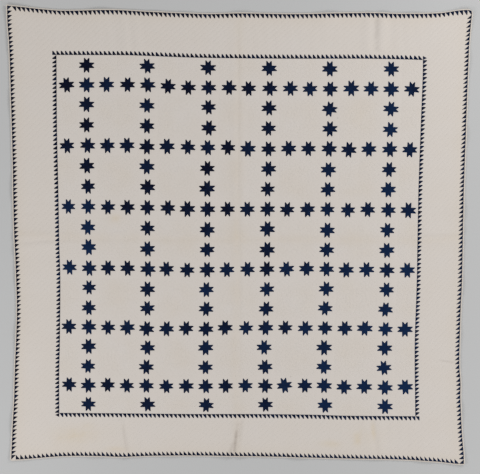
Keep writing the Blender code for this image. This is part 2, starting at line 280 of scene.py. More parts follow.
def right_of(start, end, x, y):
    """How far a spot lies to the right of the line from start to end."""
    run_x, run_y = end[0] - start[0], end[1] - start[1]
    length = np.hypot(run_x, run_y)
    return (x - start[0]) * (run_y / length) - (y - start[1]) * (run_x / length)


def crease_lift(x, y, start, end, shoulders, reach, softness):
    """Height of a pressed line and the two soft shoulders beside it."""
    along, aside = along_line(start, end, x, y), right_of(start, end, x, y)
    distance = np.minimum((np.hypot(aside, softness) - softness) / reach, 1)
    fade = np.minimum((along + CREASE_FADE) / CREASE_FADE, (1 + CREASE_FADE - along) / CREASE_FADE)
    height = np.where(aside < 0, shoulders[0], shoulders[1])
    return height * eased(np.clip(fade, 0, 1)) * np.sin(np.pi * distance ** SHOULDER_SHARPNESS) ** 2


def edge_lift(u, v):
    """Height of the soft waves along the outer edges."""
    inwards = np.minimum((EDGE_REACH - np.maximum(np.abs(u), np.abs(v))) / EDGE_WAVE_WIDTH, 1)
    lifted = np.zeros(np.shape(u))
    for side, (height, first_wave, second_wave, shift) in EDGE_WAVES.items():
        belongs, along = on_side(u, v, side)
        wave = (FIRST_WAVE_SHARE * np.sin(2 * np.pi * along / first_wave + shift)
                + SECOND_WAVE_SHARE * np.sin(2 * np.pi * along / second_wave + 2 * shift))
        to_corner = np.minimum((EDGE_REACH - np.abs(along)) / EDGE_WAVE_WIDTH, 1)
        lifted += np.where(belongs, height * np.maximum(wave, 0) * (1 - inwards) ** 2 * to_corner, 0)
    return lifted


def corner_lift(x, y):
    """Height of the curled corners."""
    corner_x, corner_y = (corner_choice(x, y, {name: spot[axis] for name, spot in CORNERS["edge"].items()})
                          for axis in (0, 1))
    near = 1 - np.hypot(x - corner_x, y - corner_y) / corner_choice(x, y, CURL_REACH)
    return corner_choice(x, y, CURL_HEIGHT) * np.maximum(near, 0) ** 2


def lift(u, v):
    """How far the underside lies above the surface that the quilt rests on."""
    x, y = laid(u, v)
    creases = sum(crease_lift(x, y, *crease) for crease in CREASES.values())
    return creases + edge_lift(u, v) + corner_lift(x, y)


all_over = np.meshgrid(*[np.linspace(-EDGE_REACH, EDGE_REACH, 400)] * 2)
print("highest fold in mm:", round(float(lift(*all_over).max()), 1))

# %% [markdown]
# ## Shader maths as plain sums
#
# A shader's nodes can be written as sums. The class below wraps one socket, and its operators add a Math
# node each, so that `1 - mask` is a value too. A second class holds the material and makes every other
# node.
#
# The quilting lines are needed twice: the mesh sinks along them, and the paint sews stitches on them. So
# each formula below takes either arrays of numbers or painted values, and the two always agree.


# %% One painted value, and the material that it belongs to
class Paint:
    """A value that changes over the cloth: one socket of a shader, ready for sums."""

    def __init__(self, recipe, socket):
        self.recipe = recipe
        self.socket = socket

    def __add__(self, other):
        return worked("ADD", self, other)

    def __sub__(self, other):
        return worked("SUBTRACT", self, other)

    def __rsub__(self, other):
        return worked("SUBTRACT", other, self)

    def __mul__(self, other):
        return worked("MULTIPLY", self, other)

    def __truediv__(self, other):
        return worked("DIVIDE", self, other)

    def __neg__(self):
        return worked("MULTIPLY", self, -1.0)

    __radd__ = __add__
    __rmul__ = __mul__


def worked(operation, *values):
    """One Math node on values of which at least one is painted."""
    recipe = next(value.recipe for value in values if isinstance(value, Paint))
    return recipe.node("ShaderNodeMath", {"operation": operation}, dict(enumerate(values)))


COTTON_SHINE = 0.06


class Recipe:
    """One material, with a maker for its nodes."""

    def __init__(self, name, roughness):
        self.material = bpy.data.materials.new(name)
        self.material.use_nodes = True
        self.tree = self.material.node_tree
        self.shader = self.tree.nodes["Principled BSDF"]
        self.shader.inputs["Roughness"].default_value = roughness
        self.shader.inputs["Specular IOR Level"].default_value = COTTON_SHINE

    def node(self, kind, settings, sockets, output=0):
        """A node of any kind: its settings first, then the values or links of its sockets."""
        made = self.tree.nodes.new(kind)
        for setting, value in settings.items():
            setattr(made, setting, value)
        for socket, value in sockets.items():
            self.join(value, made.inputs[socket])
        return Paint(self, made.outputs[output])

    def join(self, value, socket):
        if isinstance(value, Paint):
            self.tree.links.new(value.socket, socket)
        else:
            socket.default_value = value

    def blend(self, share, first, second):
        """A colour between two: all of the first at 0, all of the second at 1."""
        return self.node("ShaderNodeMix", {"data_type": "RGBA", "clamp_factor": True},
                         {0: share, 6: first, 7: second}, output=2)

    def place(self, name):
        """The two numbers of a place that the mesh carries at each of its points."""
        carried = self.node("ShaderNodeAttribute", {"attribute_name": name}, {}, output=1)
        return [self.node("ShaderNodeSeparateXYZ", {}, {0: carried}, output=axis) for axis in (0, 1)]

    def noise(self, u, v, size_u, size_v, detail=2.0):
        """Soft patches of about the given size in millimetres, from -1 to 1."""
        spot = self.node("ShaderNodeCombineXYZ", {}, {0: u / size_u, 1: v / size_v})
        found = self.node("ShaderNodeTexNoise", {"noise_dimensions": "2D"},
                          {"Vector": spot, "Scale": 1.0, "Detail": detail})
        return (found - 0.5) * 2.0

    def finished(self, colour, height):
        """The material with its colour, and its relief in millimetres."""
        bump = self.node("ShaderNodeBump", {}, {"Strength": 1.0, "Distance": MM, "Height": height})
        self.join(colour, self.shader.inputs["Base Color"])
        self.join(bump, self.shader.inputs["Normal"])
        return self.material


# %% Sums for arrays and for paint alike
def either(operation, plain):
    """A function that works on arrays of numbers, and on painted values through one Math node."""
    def work(*values):
        if any(isinstance(value, Paint) for value in values):
            return worked(operation, *values)
        return plain(*values)
    return work


def of_many(pair):
    """Makes a function of two values work on any number of them."""
    def work(found, *others):
        for other in others:
            found = pair(found, other)
        return found
    return work


least = of_many(either("MINIMUM", np.minimum))
most = of_many(either("MAXIMUM", np.maximum))
size_of = either("ABSOLUTE", np.abs)
root = either("SQRT", np.sqrt)
sine = either("SINE", np.sin)
turn_of = either("ARCTAN2", np.arctan2)
whole = either("FLOOR", np.floor)
grown = either("EXPONENT", np.exp)


def off_nearest(value, step):
    """How far a value is from the nearest whole number of steps."""
    return value - whole(value / step + 0.5) * step


def limited(value, low=0.0, high=1.0):
    return least(most(value, low), high)


def near_line(distance, width):
    """1 on a line, and softly falling to 0 away from it."""
    return grown(-distance * distance / (width * width))


print("a place 30 mm along is", float(off_nearest(np.array(30.0), PATCH)), "mm off the nearest seam")

# %% [markdown]
# ## The quilting lines
#
# Small running stitches hold the three layers together. Each plain square of four patches has a feathered
# wreath with crossed lines round it, each star has a line just outside its edge, and slanted lines an inch
# apart fill the border. A line is written as the distance to it, which is all that both the mesh and the
# paint need. The way along the line comes with it, and spaces the stitches.

# %% Sizes of the quilting
STAR_OUTLINE = 4.0
WREATH_SPINE, SPINE_HALF = 45.0, 2.4
OUTER_FEATHERS, INNER_FEATHERS, FEATHER_ROUND = 60.5, 32.0, 5.5
FEATHERS = 16
FEATHER_SLANT = 0.007
WREATH_EYE = 14.0
# Keeps the distance from the middle of a wreath from being 0
HAIR = 0.01
HATCH = PATCH / 4
HATCH_STOPS = 71.0
BORDER_LINES = INCH
SLANT = np.sqrt(0.5)
# The edge of a star's point runs a little longer than its longer leg, by this share of the shorter one
POINT_SLANT = 0.4

# One eighth of a star: the notch between a pair of points, the point as first sewn, the notch at the
# corner. The seams cut a quarter off each side of the point.
PAIR_NOTCH, WHOLE_POINT, CORNER_NOTCH = (23.1, 0.0), (37.6, 12.2), (12.5, 12.5)
CUT_OFF = 0.25


def part_way(start, end, share):
    return tuple(a + (b - a) * share for a, b in zip(start, end))


STAR_EIGHTH = (PAIR_NOTCH, part_way(WHOLE_POINT, PAIR_NOTCH, CUT_OFF),
               part_way(WHOLE_POINT, CORNER_NOTCH, CUT_OFF), CORNER_NOTCH)
print("a star is", round(2 * STAR_EIGHTH[1][0], 1), "mm wide in its", PATCH, "mm patch")


# %% Lines round a star and in a wreath
def star_edge(x, y):
    """Distance outside a star's edge, less than 0 inside it, and the way along it."""
    far, near = most(size_of(x), size_of(y)), least(size_of(x), size_of(y))
    outside = most(*[right_of(start, end, far, near) for start, end in zip(STAR_EIGHTH, STAR_EIGHTH[1:])])
    return outside, far + near * POINT_SLANT


def wreath_lines(x, y):
    """Lines of a feathered wreath: distance to each set of them, and the way along it."""
    far = root(x * x + y * y) + HAIR
    turn = turn_of(y, x)
    lobes = size_of(sine(turn * (FEATHERS / 2)))
    outer, inner = OUTER_FEATHERS + FEATHER_ROUND * lobes, INNER_FEATHERS - FEATHER_ROUND * lobes
    spine = size_of(size_of(far - WREATH_SPINE) - SPINE_HALF)
    rings = least(spine, size_of(far - WREATH_EYE), size_of(far - outer), size_of(far - inner))
    slanted = off_nearest(turn + (far - WREATH_SPINE) * FEATHER_SLANT, 2 * np.pi / FEATHERS)
    past_ends = most(far - outer, inner - far, SPINE_HALF - size_of(far - WREATH_SPINE))
    return [(rings, turn * far), (most(size_of(slanted) * far, past_ends), far)]


def crossed_lines(x, y):
    """Two sets of slanted lines round a wreath."""
    outside = HATCH_STOPS - root(x * x + y * y)
    return [(most(size_of(off_nearest(x + y, HATCH)) * SLANT, outside), (x - y) * SLANT),
            (most(size_of(off_nearest(x - y, HATCH)) * SLANT, outside), (x + y) * SLANT)]


def nearest_star(u, v, shift_u, shift_v):
    """Distance outside the nearest star, and the way along its edge.

    shift_u and shift_v say how far each spot of an uneven star is from its place in an even one.
    """
    return star_edge(off_nearest(u + FIELD_REACH - PATCH / 2, PATCH) + shift_u,
                     off_nearest(v + FIELD_REACH - PATCH / 2, PATCH) + shift_v)


# %% All the lines of the field, the border and the back
def in_plain_square(u, v):
    """Spots measured from the middle of the nearest plain square, which four blocks make where they meet."""
    return off_nearest(u + FIELD_REACH, BLOCK), off_nearest(v + FIELD_REACH, BLOCK)


def past_plain_square(u, v):
    """Distance outside the plain squares."""
    x, y = in_plain_square(u, v)
    return most(size_of(x), size_of(y)) - PATCH


def stopped(lines, outside):
    """The same lines, only where the distance outside is less than 0."""
    return [(most(distance, outside), way) for distance, way in lines]


def field_lines(u, v, shift_u, shift_v):
    x, y = in_plain_square(u, v)
    past_square = past_plain_square(u, v)
    outline, along = nearest_star(u, v, shift_u, shift_v)
    outline = most(size_of(outline - STAR_OUTLINE), -past_square)
    return stopped(wreath_lines(x, y) + crossed_lines(x, y), past_square) + [(outline, along)]


def border_lines(u, v, *_):
    """Slanted lines an inch apart along the seam. The border has no stars, so it needs no shifts."""
    return [(size_of(off_nearest(u - v, BORDER_LINES)) * SLANT, (u + v) * SLANT)]


def lines_of_back(u, v, shift_u, shift_v):
    """The same stitches, where they come through to the back."""
    reach = most(size_of(u), size_of(v))
    field = stopped(field_lines(u, v, shift_u, shift_v), reach - FIELD_REACH)
    return field + stopped(border_lines(u, v), FRAME_REACH - reach)


def nearest(lines):
    """Distance to the nearest of several sets of lines."""
    return least(*[distance for distance, _ in lines])


print("sets of lines in the field:", len(field_lines(*np.zeros((4, 1)))))

# %% [markdown]
# ## How thick the quilt is
#
# The wadding lifts the cloth between the lines of stitches and the seams. The top is 3 mm above the backing
# where two strips are sewn together, and 4 mm in the middle of an open patch. A falling exponential makes
# the crisp little valley that a pulled thread leaves. The seams of the patches are only pressed, so they
# sink less than the stitched lines. Years of washing have left all of it low and soft.

# %% Loft of the wadding
THICK_AT_SEAM = 3.0
PATCH_PUFF, PUFF_REACH = 0.45, 12.0
STITCH_PUFF, STITCH_VALLEY = 0.55, 3.2
TEETH_LOFT = 0.45
SEAM_VALLEY, SEAM_HOLD = 1.6, 0.35
FRAME_VALLEY = 2.2
FRAME_SEAMS = (FIELD_REACH, FRAME_REACH, BORDER_REACH, TEETH_REACH)


def loft(distance, valley):
    """0 on a line and 1 well away from it."""
    return 1 - np.exp(-distance / valley)


def frame_hold(u, v):
    """0 on the seams between the frames, whose heights all pieces share, and 1 away from them."""
    reach = np.maximum(np.abs(u), np.abs(v))
    return loft(np.min([np.abs(reach - seam) for seam in FRAME_SEAMS], axis=0), FRAME_VALLEY)


def pressed(seam_distance):
    """How much of the loft is left beside the pressed seam of a patch."""
    return 1 - SEAM_HOLD * np.exp(-seam_distance / SEAM_VALLEY)


def quilted_top(u, v, lines, seam_distance):
    """Thickness between the backing and the top, for a piece with these quilting lines and seams."""
    full = PATCH_PUFF * loft(seam_distance, PUFF_REACH) + STITCH_PUFF * loft(nearest(lines), STITCH_VALLEY)
    return THICK_AT_SEAM + frame_hold(u, v) * full * pressed(seam_distance)


# Ripples: their heights, their wave length, and the lengths over which they fade
RIPPLE, LOWER_RIPPLE = 0.26, 0.42
RIPPLE_WAVE = 47
# How far the waves wander to and fro, over what length, and how fast they slant on the way out
RIPPLE_WANDER, WANDER_LENGTH, SLANT_LENGTH = 1.4, 90, 60
# The ripples swell and sink along the side. The steady share, the varied one, and two lengths with shifts
STEADY, VARIED = 0.55, 0.45
LONG_SWELL, LONG_SHIFT, SHORT_SWELL, SHORT_SHIFT = 171, 1.3, 67, 0.4
FADE_FROM_FRAME, FADE_INTO_TEETH, FADE_TO_RIM, FADE_TO_CORNER = 30, 12, 40, 60


def soft_ripples(u, v):
    """Puckers of the border, where the quilting has drawn the cloth in: fine, and uneven along the side."""
    reach = np.maximum(np.abs(u), np.abs(v))
    along = np.where(np.abs(u) >= np.abs(v), v, u)
    fades = ((reach - FRAME_REACH) / FADE_FROM_FRAME,
             (BORDER_REACH + FADE_INTO_TEETH - reach) / FADE_TO_RIM,
             np.abs(np.abs(u) - np.abs(v)) / FADE_TO_CORNER)
    long_swell = np.sin(along / LONG_SWELL + LONG_SHIFT)
    strength = STEADY + VARIED * long_swell * np.sin(along / SHORT_SWELL + SHORT_SHIFT)
    wander = RIPPLE_WANDER * np.sin(along / WANDER_LENGTH)
    wave = np.sin(2 * np.pi * along / RIPPLE_WAVE + wander + reach / SLANT_LENGTH)
    height = np.where(on_side(u, v, "bottom")[0], LOWER_RIPPLE, RIPPLE)
    return height * np.prod(np.clip(fades, 0, 1), axis=0) * strength * (1 + wave)


print("loft 9 mm from a stitched line:", round(float(loft(9, STITCH_VALLEY)), 2))

# %% [markdown]
# ## Cutting patterns
#
# A pattern is a flat shape of small faces. Four-sided patches are filled with a grid, and triangles with a
# grid that ends on their long side. Where two shapes share an edge they have the same points on it, so
# after the points are merged the cloth has no cracks, and the edge of each diamond and tooth is a true edge
# of the mesh. A picture or a mask would blur it.


# %% A pattern that grids and triangles are added to
COTTON, INDIGO = 0, 1


def even(steps):
    return np.linspace(0, 1, steps + 1)


def grid_faces(columns, rows):
    """Faces of a grid whose points are numbered row by row."""
    wide = columns + 1
    corners = [row * wide + column for row in range(rows) for column in range(columns)]
    return [(corner, corner + 1, corner + wide + 1, corner + wide) for corner in corners]


class Pattern:
    """Flat spots, faces, the cloth of each face, and how faded its dye is."""

    def __init__(self):
        self.spots, self.faces, self.cloths, self.dyes = [], [], [], []
        self.count = 0

    def add(self, spots, faces, cloths, dyes):
        self.spots.append(spots)
        self.faces += [tuple(corner + self.count for corner in face) for face in faces]
        self.cloths += cloths
        self.dyes += dyes
        self.count += len(spots)

    def grid(self, corners, across, up, cloth=COTTON, dye=0.0, cut_tip=False):
        """A patch with four corners, in order round it, and stops from 0 to 1 across it and up it.

        With cut_tip its third corner is cut off, and the small triangle left there is white cotton.
        """
        a, b, c, d = (np.array(corner, float) for corner in corners)
        t, s = np.meshgrid(up, across, indexing="ij")
        s, t = s.ravel()[:, None], t.ravel()[:, None]
        spots = (1 - s) * (1 - t) * a + s * (1 - t) * b + s * t * c + (1 - s) * t * d
        faces = grid_faces(len(across) - 1, len(up) - 1)
        if cut_tip:
            inner, right, tip, left = faces.pop()
            faces.append((inner, right, left))
            self.add(np.empty((0, 2)), [(right, tip, left)], [COTTON], [0.0])
        self.add(spots, faces, [cloth] * len(faces), [dye] * len(faces))

    def triangle(self, corner, first, second, steps, cloth=COTTON, dye=0.0):
        """A triangle filled from one corner, with steps along each side."""
        corner, first, second = (np.array(spot, float) for spot in (corner, first, second))
        number, spots, faces = {}, [], []
        for i in range(steps + 1):
            for j in range(steps + 1 - i):
                number[i, j] = len(spots)
                spots.append(corner + (first - corner) * i / steps + (second - corner) * j / steps)
        for i, j in number:
            if i + j < steps - 1:
                faces.append((number[i, j], number[i + 1, j], number[i + 1, j + 1], number[i, j + 1]))
            elif i + j == steps - 1:
                faces.append((number[i, j], number[i + 1, j], number[i, j + 1]))
        self.add(np.array(spots), faces, [cloth] * len(faces), [dye] * len(faces))

    def sewn(self):
        """The sheet with its spots merged and its faces turned the same way round.

        The second result is the number of one drawn spot for each merged one.
        """
        spots = np.round(np.concatenate(self.spots), 3)
        spots, drawn, number = np.unique(spots, axis=0, return_index=True, return_inverse=True)
        number = number.ravel().tolist()
        faces = []
        for face in self.faces:
            face = [number[corner] for corner in face]
            (ax, ay), (bx, by), (cx, cy) = (spots[corner] for corner in face[:3])
            faces.append(face if (bx - ax) * (cy - ay) > (by - ay) * (cx - ax) else face[::-1])
        return (spots, faces, self.cloths, self.dyes), drawn


# %% From a flat pattern to a laid piece
def lay_piece(name, node, sheet, heights, flat_size, star_shift=None):
    """Lays a sheet on the quilt, and puts it in its solid's place."""
    spots, faces, cloths, dyes = sheet
    x, y = laid(spots[:, 0], spots[:, 1])
    mesh = bpy.data.meshes.new(name)
    mesh.from_pydata((np.column_stack([x, y, heights]) * MM).tolist(), [], faces)
    star_shift = np.zeros_like(spots) if star_shift is None else star_shift
    for carried, pair in (("cut_place", spots), ("star_shift", star_shift)):
        flat = np.column_stack([pair, np.zeros(len(spots))]).astype(np.float32)
        mesh.attributes.new(carried, "FLOAT_VECTOR", "POINT").data.foreach_set("vector", flat.ravel())
    mesh.attributes.new("dye", "FLOAT", "FACE").data.foreach_set("value", np.array(dyes, np.float32))
    mesh.polygons.foreach_set("material_index", np.array(cloths, np.int32))
    mesh.shade_smooth()
    piece = bpy.data.objects.new(name, mesh)
    bpy.context.scene.collection.objects.link(piece)
    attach(piece, "root")
    if node:
        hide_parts(node)
    flat_size[0] * MM
    flat_size[1] * MM
    return piece


print("patterns are ready to cut")

# %% [markdown]
# ## A star block
#
# An eight-pointed star is eight diamonds whose points lie in pairs on the four sides. A corner square and a
# side piece are set into each notch, and the star floats in its patch. A diamond has four sides, so each is
# one grid. Its point is a little blunt, because the seam that sews it in cuts it off. The pattern of one
# star patch is drawn once and used for all 180 of them.
#
# No two hand-sewn stars are alike. Each is turned, moved and stretched a little, and the change fades out
# towards the seams of its patch, so that the patches still meet.

# %% The pattern of one star patch
DIAMOND_STOPS = np.array([0, 0.15, 0.30, 0.45, 0.60, 1 - CUT_OFF, 1])
MARGIN_STOPS = even(3)
HALF_PATCH = PATCH / 2


def quarter_turned(spots, quarters):
    for _ in range(quarters):
        spots = [(-y, x) for x, y in spots]
    return spots


def star_patch():
    """One star patch round its own middle. Diamond faces carry their number, 1 to 8, as their dye."""
    pattern = Pattern()
    fine, margin, edge = DIAMOND_STOPS, MARGIN_STOPS, HALF_PATCH
    out, aside = WHOLE_POINT
    notch, corner, point, upper_point = PAIR_NOTCH, CORNER_NOTCH, WHOLE_POINT, WHOLE_POINT[::-1]
    diamonds = ((0, 0), notch, point, corner), ((0, 0), corner, upper_point, notch[::-1])
    whites = (((notch, (edge, 0), (edge, aside), point), margin, fine),
              ((notch, (edge, 0), (edge, -aside), (out, -aside)), margin, fine),
              ((corner, point, (out, out), upper_point), fine, fine),
              ((point, (edge, aside), (edge, out), (out, out)), margin, fine),
              ((upper_point, (out, out), (out, edge), (aside, edge)), fine, margin),
              (((out, out), (edge, out), (edge, edge), (out, edge)), margin, margin))
    for quarter in range(4):
        for number, corners in enumerate(diamonds, 2 * quarter + 1):
            pattern.grid(quarter_turned(corners, quarter), fine, fine, INDIGO, number, cut_tip=True)
        for corners, across, up in whites:
            pattern.grid(quarter_turned(corners, quarter), across, up)
    return pattern


def plain_patch():
    """One plain patch, with the same points on its edges as a star patch."""
    pattern = Pattern()
    out, aside = WHOLE_POINT
    half = np.concatenate([DIAMOND_STOPS * aside, aside + DIAMOND_STOPS[1:] * (out - aside),
                           out + MARGIN_STOPS[1:] * (HALF_PATCH - out)])
    stops = np.concatenate([-half[:0:-1], half]) / PATCH + 0.5
    edge = HALF_PATCH
    pattern.grid(((-edge, -edge), (edge, -edge), (edge, edge), (-edge, edge)), stops, stops)
    return pattern


star_pattern, plain_pattern = star_patch(), plain_patch()
print("faces of a star patch:", len(star_pattern.faces), "and of a plain one:", len(plain_pattern.faces))


# %% How uneven each star is, and how faded
chance = np.random.default_rng(1850)
STAR_SHIFT, STAR_TURN, STAR_SIZE = 1.3, 0.035, 0.022
OUTLINE_WAVES, OUTLINE_UNEVEN = (2, 3, 5, 8), 0.011
UNEVEN_FROM = 34.0
FRESHEST_DYE = 0.12
# Where the dye has faded. Columns: how much, from where, over what length.
FADED_RIGHT, FADED_BELOW = (0.34, 330, 130), (0.20, -20, 90)
OUTER_LEFT = -900
# The faded patch at the left edge: how much, its middle, its half width and half height
FADED_LEFT = (0.62, (-730, 20), (105, 190))
STAR_DYE_LOTS, DIAMOND_DYE_LOTS = 0.07, 0.05


def uneven_star(spots):
    """Turns, moves and stretches one star inside its patch."""
    x, y = spots[:, 0], spots[:, 1]
    turn, grow = chance.normal(0, STAR_TURN), chance.normal(0, STAR_SIZE)
    shift_x, shift_y = chance.normal(0, STAR_SHIFT, 2)
    around = np.arctan2(y, x)
    for waves in OUTLINE_WAVES:
        grow = grow + chance.normal(0, OUTLINE_UNEVEN) * np.sin(waves * around + chance.uniform(0, 6.28))
    new_x = (x * np.cos(turn) - y * np.sin(turn)) * (1 + grow) + shift_x
    new_y = (x * np.sin(turn) + y * np.cos(turn)) * (1 + grow) + shift_y
    held = (HALF_PATCH - np.maximum(np.abs(x), np.abs(y))) / (HALF_PATCH - UNEVEN_FROM)
    held = eased(np.clip(held, 0, 1))
    return np.column_stack([x + (new_x - x) * held, y + (new_y - y) * held])


def faded(u, v):
    """How faded the blue is: most at the left edge, and a little on the right and below."""
    right = FADED_RIGHT[0] / (1 + np.exp(-(u - FADED_RIGHT[1]) / FADED_RIGHT[2]))
    below = FADED_BELOW[0] / (1 + np.exp((v - FADED_BELOW[1]) / FADED_BELOW[2])) * (u > OUTER_LEFT)
    much, middle, half = FADED_LEFT
    left = much * np.exp(-((u - middle[0]) / half[0]) ** 2 - ((v - middle[1]) / half[1]) ** 2)
    return FRESHEST_DYE + right + below + left


print("a star's place varies by about", STAR_SHIFT, "mm")


# %% The thirty-six blocks
def make_block(row, column):
    """Nine patches: five stars in a cross and four plain squares."""
    block = Pattern()
    shifts = []
    left, top = -FIELD_REACH + column * BLOCK, FIELD_REACH - row * BLOCK
    for down in range(PATCHES_A_BLOCK):
        for across in range(PATCHES_A_BLOCK):
            middle = np.array([left + (across + 0.5) * PATCH, top - (down + 0.5) * PATCH])
            is_star = across == 1 or down == 1
            pattern = star_pattern if is_star else plain_pattern
            drawn = np.concatenate(pattern.spots)
            spots = uneven_star(drawn) if is_star else drawn
            base = np.clip(faded(*middle) + chance.normal(0, STAR_DYE_LOTS), 0, 1)
            lots = np.clip(base + chance.normal(0, DIAMOND_DYE_LOTS, 9), 0, 1)
            dyes = [lots[int(number)] for number in pattern.dyes]
            block.add(spots + middle, pattern.faces, pattern.cloths, dyes)
            shifts.append(drawn - spots)
    sheet, drawn = block.sewn()
    shift = np.concatenate(shifts)[drawn]
    u, v = sheet[0].T
    seam_u, seam_v = off_nearest(u + FIELD_REACH, PATCH), off_nearest(v + FIELD_REACH, PATCH)
    to_seam = np.minimum(np.abs(seam_u), np.abs(seam_v))
    edge, _ = nearest_star(u, v, *shift.T)
    to_seam = np.where(past_plain_square(u, v) > 0, np.minimum(to_seam, np.abs(edge)), to_seam)
    heights = lift(u, v) + quilted_top(u, v, field_lines(u, v, *shift.T), to_seam)
    node = f"block_{row + 1}_{column + 1}"
    return lay_piece(f"star_{node}", node, sheet, heights, (BLOCK, BLOCK), shift)


star_blocks = [make_block(row, column) for row in range(BLOCKS_A_SIDE) for column in range(BLOCKS_A_SIDE)]
print("faces in a block:", len(star_blocks[0].data.polygons))

# %% [markdown]
# ## Rows of teeth
#
# A sawtooth strip is a row of small squares, each of a blue and a white triangle. The inner row points
# outwards and the outer row points inwards, and both lean the same way round the quilt. Like the stars, the
# teeth have lost some of their points to the seam. The corners of an old quilt seldom come out even, so the
# corner squares here are turned in their own ways.

# %% One square of a sawtooth strip
STEPS_A_TOOTH = 6
TOOTH_UNEVEN = 0.7
# Share of a tooth's width that is cut off at its point
INNER_BLUNT = 0.22
OUTER_BLUNT = {"top": 0.18, "bottom": 0.05, "left": 0.03, "right": 0.04}
TEETH_FADE, TOOTH_DYE_LOTS = 0.6, 0.08


def tooth_square(pattern, place, cut, blunt, dye):
    """One square of a strip. place(a, b) gives the spot at a along the strip and b out across it."""
    steps = STEPS_A_TOOTH
    near_start, near_end = place(0, 0), place(1, 0)
    far_start, far_end = place(0, 1), place(1, 1)
    if cut in ("leans_out", "leans_in"):
        if cut == "leans_out":
            corners = near_start, near_end, place(blunt, 1), far_start
            white = far_end, corners[2], near_end
        else:
            corners = far_end, far_start, place(1 - blunt, 0), near_end
            white = near_start, corners[2], far_start
        pattern.grid(corners, even(steps), even(steps), INDIGO, dye)
        pattern.triangle(*white, steps)
        return
    tip = place(1, 0.5)
    blue, *whites = {
        "points_on": ((near_start, far_start, tip), (far_end, far_start, tip), (near_end, near_start, tip)),
        "far_corner": ((far_start, near_start, far_end), (near_end, near_start, far_end)),
        "near_corner": ((near_end, near_start, far_end), (far_start, near_start, far_end)),
    }[cut]
    pattern.triangle(*blue, steps, INDIGO, dye)
    for white in whites:
        pattern.triangle(*white, steps)


print("faces in a tooth:", STEPS_A_TOOTH ** 2)


# %% The sawtooth strips
def strip_spot(side, along, out):
    """Flat spot on a side: along it the way a clock's hands go round, and out from the middle."""
    spots = {"top": (along, out), "right": (out, -along), "bottom": (-along, -out), "left": (-out, along)}
    return spots[side]


def make_teeth(name, side, inner, outer, count, cut, corner_cuts):
    """One strip of teeth. The level strips run on over the two corner squares."""
    half = outer if side in LEVEL else inner
    stops = np.linspace(-inner, inner, count + 1)
    cuts = [cut] * count
    if side in LEVEL:
        stops = np.concatenate([[-outer], stops, [outer]])
        cuts = [corner_cuts[0], *cuts, corner_cuts[1]]
    shifts = chance.normal(0, TOOTH_UNEVEN, (2, len(stops)))
    shifts[:, [0, -1]] = 0
    blunt = INNER_BLUNT if cut == "leans_out" else OUTER_BLUNT[side]
    pattern = Pattern()
    for number, tooth_cut in enumerate(cuts):
        start, end = stops[number], stops[number + 1]

        def place(a, b, number=number, start=start, end=end):
            low = start + (1 - b) * shifts[0, number] + b * shifts[1, number]
            high = end + (1 - b) * shifts[0, number + 1] + b * shifts[1, number + 1]
            return strip_spot(side, low + (high - low) * a, inner + (outer - inner) * b)

        lot = chance.normal(0, TOOTH_DYE_LOTS)
        dye = np.clip(TEETH_FADE * faded(*place(0.5, 0.5)) + lot, 0, 1)
        tooth_square(pattern, place, tooth_cut, blunt, dye)
    sheet, _ = pattern.sewn()
    u, v = sheet[0].T
    along = u if side in LEVEL else v
    to_seam = np.abs(along[:, None] - (stops if side in ("top", "left") else -stops)[None, :]).min(axis=1)
    puff = TEETH_LOFT * frame_hold(u, v) * pressed(to_seam)
    heights = lift(u, v) + (THICK_AT_SEAM + puff + soft_ripples(u, v))
    return lay_piece(f"{name}_teeth_{side}", f"{name}_{side}", sheet, heights,
                     (2 * half, SAWTOOTH))


INNER_TEETH = round(2 * FIELD_REACH / SAWTOOTH)
OUTER_TEETH = round(2 * BORDER_REACH / SAWTOOTH)
INNER_CORNERS = ("leans_out", "points_on")
OUTER_CORNERS = {"top": ("far_corner", "leans_in"), "bottom": ("far_corner", "near_corner")}
teeth = []
for side in SIDES:
    teeth.append(make_teeth("inner_sawtooth", side, FIELD_REACH, FRAME_REACH, INNER_TEETH, "leans_out",
                            INNER_CORNERS))
    teeth.append(make_teeth("outer_sawtooth", side, BORDER_REACH, TEETH_REACH, OUTER_TEETH, "leans_in",
                            OUTER_CORNERS.get(side)))
print("teeth on a side:", INNER_TEETH, "inside and", OUTER_TEETH, "outside")

# %% [markdown]
# ## The plain border
#
# Four wide strips of plain cotton, with nothing on them but slanted quilting lines. The faces are a sixth
# of an inch, because then every line of stitches runs exactly through the corners of faces and its valley
# stays crisp.

# %% The border strips
BORDER_FACE = INCH / 6


def plain_cloth(left, right, low, high, face):
    """A sheet of white cotton with four straight sides, filled with faces of about one size."""
    pattern = Pattern()
    columns, rows = round((right - left) / face), round((high - low) / face)
    pattern.grid(((left, low), (right, low), (right, high), (left, high)), even(columns), even(rows))
    return pattern.sewn()[0]


def ring_box(side, inner, outer):
    """Flat box of a strip. The level strips run over the ends of the upright ones."""
    return {"top": (-outer, outer, inner, outer), "bottom": (-outer, outer, -outer, -inner),
            "left": (-outer, -inner, -inner, inner), "right": (inner, outer, -inner, inner)}[side]


def make_border(side):
    left, right, low, high = ring_box(side, FRAME_REACH, BORDER_REACH)
    sheet = plain_cloth(left, right, low, high, BORDER_FACE)
    u, v = sheet[0].T
    reach = np.maximum(np.abs(u), np.abs(v))
    to_seam = np.minimum(reach - FRAME_REACH, BORDER_REACH - reach)
    heights = lift(u, v) + (quilted_top(u, v, border_lines(u, v), to_seam) + soft_ripples(u, v))
    return lay_piece(f"quilted_border_{side}", f"border_{side}", sheet, heights,
                     (max(right - left, high - low), BORDER))


borders = [make_border(side) for side in SIDES]
print("faces in the border:", sum(len(piece.data.polygons) for piece in borders))

# %% [markdown]
# ## The binding
#
# A strip of cotton is folded over the raw edge and sewn down on both faces. In section it is a small roll:
# up from the top seam, over the crown, round the rim and back under. The section is drawn once and carried
# round the quilt, and each side ends on a slant, so neighbouring sides meet in a mitred corner.

